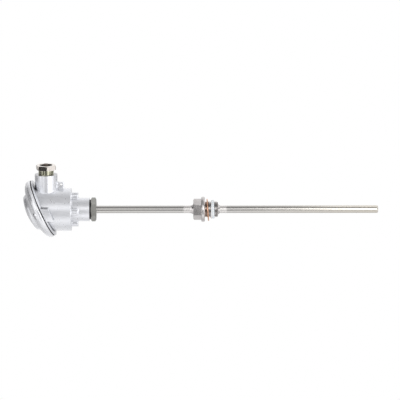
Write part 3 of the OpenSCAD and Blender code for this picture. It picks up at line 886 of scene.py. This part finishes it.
# %% [markdown]
# ## Threads
#
# A thread is what a pointed tool leaves when the work moves past it at a steady pitch. The same is
# done here: the tool's outline, wider than the work is deep, is swept along a screw line by the
# Screw modifier, and the winding body that this makes is cut out of the blank. Its two ends are
# closed first, or the cut would leave holes.

# %% Thread cutter
TOOL_TIP = 0.10


def thread_tool(name, pitch, root, root_half, outer, outer_half, low, high):
    """The body that cuts a thread: two radii, each with half the tool's width there."""
    corners = [(root, -root_half), (outer, -outer_half), (outer, outer_half), (root, root_half)]
    tool = drawn(name, corners + corners[:1], foot=low)
    bpy.ops.mesh.remove_doubles(threshold=0.001 * MM)
    done()
    winds = round((high - low) / pitch)
    modified(tool, "SCREW", axis="Z", angle=2 * math.pi, screw_offset=pitch * MM,
             iterations=winds, steps=80, render_steps=80)
    bpy.ops.object.mode_set(mode="EDIT")
    bpy.ops.mesh.select_mode(type="EDGE")
    bpy.ops.mesh.select_all(action="DESELECT")
    bpy.ops.mesh.select_non_manifold(
        extend=False, use_wire=False, use_multi_face=False, use_non_contiguous=False,
        use_verts=False,
    )
    bpy.ops.mesh.fill_holes(sides=4)
    bpy.ops.mesh.select_mode(type="VERT")
    bpy.ops.mesh.select_all(action="SELECT")
    bpy.ops.mesh.normals_make_consistent(inside=False)
    done()
    print(name, "winds", winds, "times")
    return tool


# %% [markdown]
# ## The process fitting
#
# It is one turned piece of stainless bar: a hexagon for the spanner, a round collar that carries
# the sealing face, a parallel half-inch pipe thread that is turned down a little where the white
# ring grips it, and small hollow weld seams that run out onto the tube at both ends. It is made in
# the order of the workshop: turn, mill the hexagon, cut the thread.

# %% Turn the fitting
EDGE = 1.6
flange = bend((FLANGE_R - EDGE, FLANGE_T - EDGE), EDGE, 90, 0, 8)
flange += bend((FLANGE_R - EDGE, EDGE), EDGE, 0, -90, 8)
upper_seam = [
    (5.02, 18.58), (5.14, 18.58), (5.3, 17.7), (5.55, 16.9), (5.95, 16.1), (6.4, 15.45),
    (6.68, 14.8),
]
lower_seam = [
    (6.95, -17.0), (6.7, -17.35), (6.2, -17.9), (5.75, -18.5), (5.4, -19.1), (5.14, -19.58),
    (5.02, -19.58),
]
thread_blank = [
    (9.9, 0.0), (9.9, -2.2), (THREAD_R, -2.7), (THREAD_R, -7.4), (10.27, -7.4), (10.27, -13.0),
    (THREAD_R, -13.0), (THREAD_R, -15.8), (9.08, -17.0),
]
under_hexagon = [(10.8, 14.8), (10.8, FLANGE_T)]
fitting = turned(
    "screwed_fitting", upper_seam + under_hexagon + flange + thread_blank + lower_seam,
)
print("turned blank:", len(fitting.data.polygons), "faces")

# %% Mill the hexagon
hexagon = bar("hexagon", HEX_R, FLANGE_T - 0.6, FITTING_TOP, sides=6, turn=30 + FITTING_TURN)
edit("DESELECT")
done()
for edge in hexagon.data.edges:
    a, b = (hexagon.data.vertices[k].co for k in edge.vertices)
    edge.select = abs(a.z - b.z) > MM
bpy.ops.object.mode_set(mode="EDIT")
bpy.ops.mesh.select_mode(type="EDGE")
bpy.ops.mesh.bevel(offset=0.25 * MM, segments=3)
bpy.ops.mesh.select_mode(type="VERT")
done()
chamfer = [(0.0, 3.0), (14.5, 3.0), (14.5, 13.5), (11.9, 15.0), (0.0, 15.0)]
work(hexagon, turned("corner chamfer", chamfer), "INTERSECT")
work(hexagon, bar("drill", 5.9, 3.5, 16.0))
work(fitting, hexagon, "UNION")
print("with its hexagon:", len(fitting.data.polygons), "faces")

# %% Cut the pipe thread
PIPE_PITCH, PIPE_ROOT = 1.8143, 9.32
pipe_tool = thread_tool(
    "pipe thread tool", PIPE_PITCH, PIPE_ROOT, TOOL_TIP, 11.3, 0.80, low=-17.9, high=-2.6,
)
work(fitting, pipe_tool)
soft_shade(fitting, 28)
stands_for(fitting, fitting_steel.material, "probe", "fitting_steel", "process_fitting")

# %% [markdown]
# ## The sealing washer and the white ring
#
# The copper washer has been squeezed before, so its edges are rounded over. The white ring is a
# loose plastic keeper that holds it on the thread until the probe is mounted: a short tube whose
# two faces lean towards each other, so it is narrow on one side and wide on the other, with a
# slightly crowned outside.

# %% Copper washer
WASHER_R, WASHER_HOLE, WASHER_HALF = 14.4, 11.4, 0.75
RIM_SOFT, HOLE_SOFT = 0.5, 0.3
WASHER_AT, LEAN, PLAY = -3.9, math.radians(4.0), 0.03
washer = turned(
    "crush_washer",
    bend((WASHER_R - RIM_SOFT, WASHER_HALF - RIM_SOFT), RIM_SOFT, 90, 0, 5)
    + bend((WASHER_R - RIM_SOFT, RIM_SOFT - WASHER_HALF), RIM_SOFT, 0, -90, 5)
    + [(13.0, -0.70), (12.2, -0.74)]
    + bend((WASHER_HOLE + HOLE_SOFT, HOLE_SOFT - WASHER_HALF), HOLE_SOFT, -90, -180, 4)
    + bend((WASHER_HOLE + HOLE_SOFT, WASHER_HALF - HOLE_SOFT), HOLE_SOFT, 180, 90, 4)
    + [(12.2, 0.74), (13.0, 0.70)],
)
# it hangs on the thread, so it is off the axis by its play, less what the lean takes up
slack = WASHER_HOLE * math.cos(LEAN) - WASHER_HALF * math.sin(LEAN) - THREAD_R - PLAY
washer.location = (-slack * MM, 0.0, WASHER_AT * MM)
washer.rotation_euler = (0.0, -LEAN, 0.0)
settle(washer)
soft_shade(washer, 35)
stands_for(washer, copper.material, "probe", "copper", "copper_washer")

# %% White ring
RING_AT, RING_BORE, BLANK_HALF = -10.2, 10.3, 2.9
WIDE_SIDE, NARROW_SIDE, RING_ACROSS, MID_HALF = 5.4, 3.4, 24.3, 2.2
crown = [
    (11.75, -BLANK_HALF), (12.0, -1.9), (12.12, -0.8), (12.15, 0.0), (12.12, 0.8), (12.0, 1.9),
    (11.75, BLANK_HALF),
]
keeper = turned(
    "white_keeper_ring", [(RING_BORE, -BLANK_HALF)] + crown + [(RING_BORE, BLANK_HALF)],
)
side_lean = math.atan((WIDE_SIDE - NARROW_SIDE) / 2 / RING_ACROSS)
for side in (1, -1):
    only(keeper)
    edit()
    bpy.ops.mesh.bisect(
        plane_co=(0.0, 0.0, side * MID_HALF * MM),
        plane_no=(math.sin(side_lean), 0.0, side * math.cos(side_lean)),
        use_fill=False, clear_outer=True,
    )
    bpy.ops.mesh.select_all(action="DESELECT")
    bpy.ops.mesh.select_non_manifold(extend=False)
    bpy.ops.mesh.bridge_edge_loops()
    done()
keeper.location = (0.0, 0.0, RING_AT * MM)
settle(keeper)
close_up(keeper)
modified(keeper, "BEVEL", width=0.45 * MM, segments=4, angle_limit=math.radians(50))
soft_shade(keeper, 40)
stands_for(keeper, milky.material, "probe", "white_plastic", "retaining_ring")

# %% [markdown]
# ## The gland's pressure screw
#
# A brass screw with a nickel skin: an M20 thread of 1.5 mm pitch, a hexagon whose corners are
# blunted by the turning tool on both faces, and a wide bore with a broken edge that the blanking
# plug looks out of. It is made upright, where turning is easy, and laid onto its own axis at the
# end.

# %% Pressure screw
HEX_HIGH, HEX_BLUNT, METRIC_PITCH, METRIC_CREST, METRIC_ROOT = 6.2, 0.98, 1.5, 9.95, 9.06
lo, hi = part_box("gland_screw")
hex_top = hi.x / MM
hex_foot = hex_top - HEX_HIGH
screw = turned("pressure_screw_body", [
    (0.0, 41.3), (9.15, 41.3), (METRIC_CREST, 42.1), (METRIC_CREST, hex_foot + 0.8),
    (0.0, hex_foot + 0.8),
])
six = bar("gland hexagon", HEX_R, hex_foot, hex_top, sides=6, turn=30 + GLAND_TURN)
shaper = turned("gland corner tool", [
    (0.0, hex_foot), (11.9, hex_foot), (13.6, hex_foot + HEX_BLUNT),
    (13.6, hex_top - HEX_BLUNT), (11.9, hex_top), (0.0, hex_top),
])
work(six, shaper, "INTERSECT")
work(screw, six, "UNION")
metric_tool = thread_tool(
    "metric thread tool", METRIC_PITCH, METRIC_ROOT, TOOL_TIP, 10.5, 0.64, low=40.8,
    high=hex_foot - 0.9,
)
work(screw, metric_tool)
work(screw, turned("bore tool", [
    (0.0, 40.0), (7.8, 40.0), (7.8, hex_top - 0.8), (8.75, hex_top + 0.15), (8.75, hex_top + 2.0),
    (0.0, hex_top + 2.0),
]))
onto_gland(screw)
soft_shade(screw, 28)
stands_for(screw, nickel.material, "pressure_screw", "nickel_brass", "gland_screw")

# %% [markdown]
# ## The turned cover
#
# The cover is die-cast and then turned, so every edge on its outside has a small radius. Its
# outline is first drawn with straight steps and then softened by cutting each corner twice, which
# is how a rounded outline is made from a rough one. Two screw pockets and their bosses are cast
# in, and the joint face underneath stays flat.

# %% Cover outline
def softened(points, rounds=2):
    """Cuts the corners of an outline, and keeps its two ends."""
    for _ in range(rounds):
        softer = [points[0]]
        for (r0, z0), (r1, z1) in zip(points, points[1:]):
            softer.append((r0 * 0.75 + r1 * 0.25, z0 * 0.75 + z1 * 0.25))
            softer.append((r0 * 0.25 + r1 * 0.75, z0 * 0.25 + z1 * 0.75))
        softer.append(points[-1])
        points = softer
    return points


outside = [
    (0.0, 22.0), (5.0, 21.76), (10.0, 21.05), (15.0, 19.95), (19.5, 18.7), (22.4, 17.6),
    (24.0, 16.0), (25.0, 13.7), (26.2, 12.5), (31.0, 11.2), (35.0, 9.4), (37.0, 7.7), (37.6, 7.1),
    (37.85, 6.95), (38.3, 6.7), (38.75, 5.85), (39.2, 4.85), (39.5, 3.9), (39.5, 2.0), (39.2, 1.2),
    (38.6, 0.55),
]
inside = [
    (32.7, 0.55), (33.2, 1.3), (33.26, 3.0), (33.0, 4.6), (32.0, 6.4), (30.6, 7.7), (28.4, 9.1),
    (23.0, 10.3), (22.4, 11.1), (21.4, 13.4), (19.8, 15.0), (16.9, 16.1), (12.4, 17.35),
    (7.4, 18.45), (0.0, 19.4),
]
cover = turned("slanted_cover", softened(outside) + softened(inside), steps=192)
screw_places = [(0.0, side * COVER_SCREW_AT) for side in (1, -1)]
for place in screw_places:
    work(cover, bar("cover boss", 5.6, 0.55, 8.4, 64, at=place), "UNION")
for place in screw_places:
    work(cover, bar("screw pocket", 4.5, 7.4, 23.0, 64, at=place))
    work(cover, bar("screw hole", 2.7, -1.0, 9.0, 48, at=place))
    work(cover, bar("retainer recess", 4.0, -1.0, 2.1, 48, at=place))
onto_cover_plane(cover)
soft_shade(cover, 30)
stands_for(cover, cover_paint.material, "cover", "cover_casting", "head_cover")

# %% [markdown]
# ## Springs of the measuring insert
#
# Two coil springs stand on the insert's plate, under the heads of its screws, and press the
# sheath's tip into the end of the tube. A coil is one round wire led along a screw line, so the
# wire's section is wound by the Screw modifier and its two cut ends are closed. When the plate
# comes up, the screw heads stay and the coils close between them; here they are wound standing,
# and only how far they would close is reckoned.

# %% Wind the two springs
STANDING, CLOSED = SPRING_TOP - PLATE_TOP, SPRING_TOP - PLATE_TOP - PUSH
WIRE_R, COIL_R, TURNS = 0.4, 2.85, 6


def coil(name, y):
    """One spring between the plate and the head of its screw."""
    rest()
    bpy.ops.mesh.primitive_circle_add(
        vertices=16, radius=WIRE_R * MM, rotation=(math.pi / 2, 0.0, 0.0),
        location=(COIL_R * MM, 0.0, 0.0),
    )
    piece = settle(bpy.context.active_object)
    piece.name = name
    rise = (STANDING - 2 * WIRE_R - 0.1) / TURNS * MM
    modified(piece, "SCREW", axis="Z", iterations=TURNS, steps=32, render_steps=32,
             screw_offset=rise)
    edit()
    bpy.ops.mesh.fill_holes(sides=0)
    done()
    piece.location = (0.0, y * MM, (PLATE_TOP + WIRE_R + 0.05) * MM)
    return settle(piece)


pair = [coil("front spring", -INSERT_SCREW_AT), coil("back spring", INSERT_SCREW_AT)]
springs = joined(pair, "hold_down_springs")
close_up(springs)
soft_shade(springs, 40)
stands_for(springs, spring_steel.material, "probe", "spring_steel", "insert_springs")
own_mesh(springs)
print("springs stand", round(STANDING, 1), "mm high and close to", round(CLOSED, 1))

# %% [markdown]
# ## The cast head
#
# A die-cast housing has no sharp inner corners: metal flows round them, so every boss grows out of
# the body through a small hollow rounding. The blank is therefore put together from plain bodies,
# melted into one skin by a voxel remesh, and smoothed until the rounding is right. The rim is
# welded on after that, because its edge is crisp. Only then is the head machined, which leaves the
# flat joint, the bores and the seat of the gland as sharp as on a real casting.

# %% Blank of the head
def melted(parts, name, voxel_mm, rounds):
    """Joins closed bodies, melts them into one skin and smooths it."""
    piece = joined(parts, name)
    modified(piece, "REMESH", mode="VOXEL", voxel_size=voxel_mm * MM)
    modified(piece, "SMOOTH", factor=0.5, iterations=rounds)
    return piece


BODY_R, RIM_R, BOSS_R = 27.8, 38.8, 15.3
LUG_R, LUG_AT, LUG_FOOT = 4.5, 18.1, 164.4
VOXEL, SMOOTHINGS = 0.5, 6
side_bosses = onto_cover_plane(bar("side bosses", RIM_R - 0.8, -10.0, 2.5, 192))
boss_width = block("side boss width", (-8.5, -60.0, FLOOR_Z), (8.5, 60.0, 260.0))
work(side_bosses, boss_width, "INTERSECT")
parts = [
    bar("shell", BODY_R, SHOULDER, 232.0, 192),
    bar("neck boss", BOSS_R, 148.6, FLOOR_Z, 128),
    onto_gland(bar("gland boss", 14.7, 10.0, 47.6, 128)),
    block("eye", (24.8, -2.4, 182.9), (36.6, 2.4, 190.7)),
]
for k in range(4):
    away = Vector((LUG_AT * math.cos(k * math.pi / 2), LUG_AT * math.sin(k * math.pi / 2)))
    side = Vector((-away.y, away.x)).normalized() * LUG_R
    parts.append(bar("lug", LUG_R, LUG_FOOT, FLOOR_Z, 48, at=away))
    corners = [away + side, away - side, side, -side]
    low = (min(c.x for c in corners), min(c.y for c in corners), LUG_FOOT + 1.0)
    high = (max(c.x for c in corners), max(c.y for c in corners), FLOOR_Z)
    parts.append(block("lug root", low, high))
head = melted(parts, "cast_head", VOXEL, SMOOTHINGS)
# the rim and its two side bosses keep a clean edge where they stand on the body
rim_outline = [
    (0.0, -1.9), (RIM_R - 0.5, -1.9), (RIM_R, -1.6), (RIM_R, -1.0), (RIM_R - 0.5, -0.5),
    (RIM_R - 0.5, 2.5), (0.0, 2.5),
]
rim = onto_cover_plane(turned("rim", rim_outline, steps=192))
work(rim, side_bosses, "UNION")
work(head, rim, "UNION")
print("blank with its rim:", len(head.data.polygons), "faces")


# %% Machine the head
def face_off(piece, point, normal):
    """Mills a flat face: all that lies beyond it goes, and the cut is closed."""
    only(piece)
    edit()
    bpy.ops.mesh.bisect(plane_co=point * MM, plane_no=normal, use_fill=True, clear_outer=True)
    done()


HALF_GASKET, SKIM = 0.51, 0.01
plane_normal = Vector((-math.sin(SLANT), 0.0, math.cos(SLANT)))
face_off(head, PLANE - plane_normal * HALF_GASKET, plane_normal)
face_off(head, Vector((0.0, 0.0, NECK_FACE + SKIM)), Vector((0.0, 0.0, -1.0)))
face_off(head, Vector((GLAND_SEAT, 0.0, GLAND_Z)), Vector((1.0, 0.0, 0.0)))
hollow = bar("cavity", 25.0, FLOOR_Z, 262.0, 160)
work(hollow, bar("bore", 9.0, 149.0, FLOOR_Z + 1.0, 96), "UNION")
work(hollow, bar("neck thread bore", 12.0, 140.0, 168.8, 96), "UNION")
work(hollow, onto_gland(bar("cable passage", 7.4, 12.0, 33.0, 96)), "UNION")
work(hollow, onto_gland(bar("gland bore", 10.0, 31.4, 55.0, 96)), "UNION")
for way in ((1, 0), (-1, 0), (0, 1), (0, -1)):
    place = [INSERT_SCREW_AT * share for share in way]
    work(hollow, bar("insert hole", 2.05, 166.6, FLOOR_Z + 1.0, 32, at=place), "UNION")
work(head, hollow)
for place in screw_places:
    work(head, onto_cover_plane(bar("cover screw hole", 2.55, -7.0, 3.0, 48, at=place)))
rest()
bpy.ops.mesh.primitive_cylinder_add(
    vertices=40, radius=1.7 * MM, depth=12 * MM, rotation=(math.pi / 2, 0, 0),
    location=(EYE_X * MM, 0.0, EYE_Z * MM),
)
work(head, settle(bpy.context.active_object))
soft_shade(head, 35)
stands_for(head, head_paint.material, "probe", "head_casting", "head_body")
lo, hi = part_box("head_body")
reach = [round(max(v.co[k] for v in head.data.vertices) / MM, 2) for k in range(3)]
print("casting reaches", reach, "and its solid", [round(v / MM, 2) for v in hi])
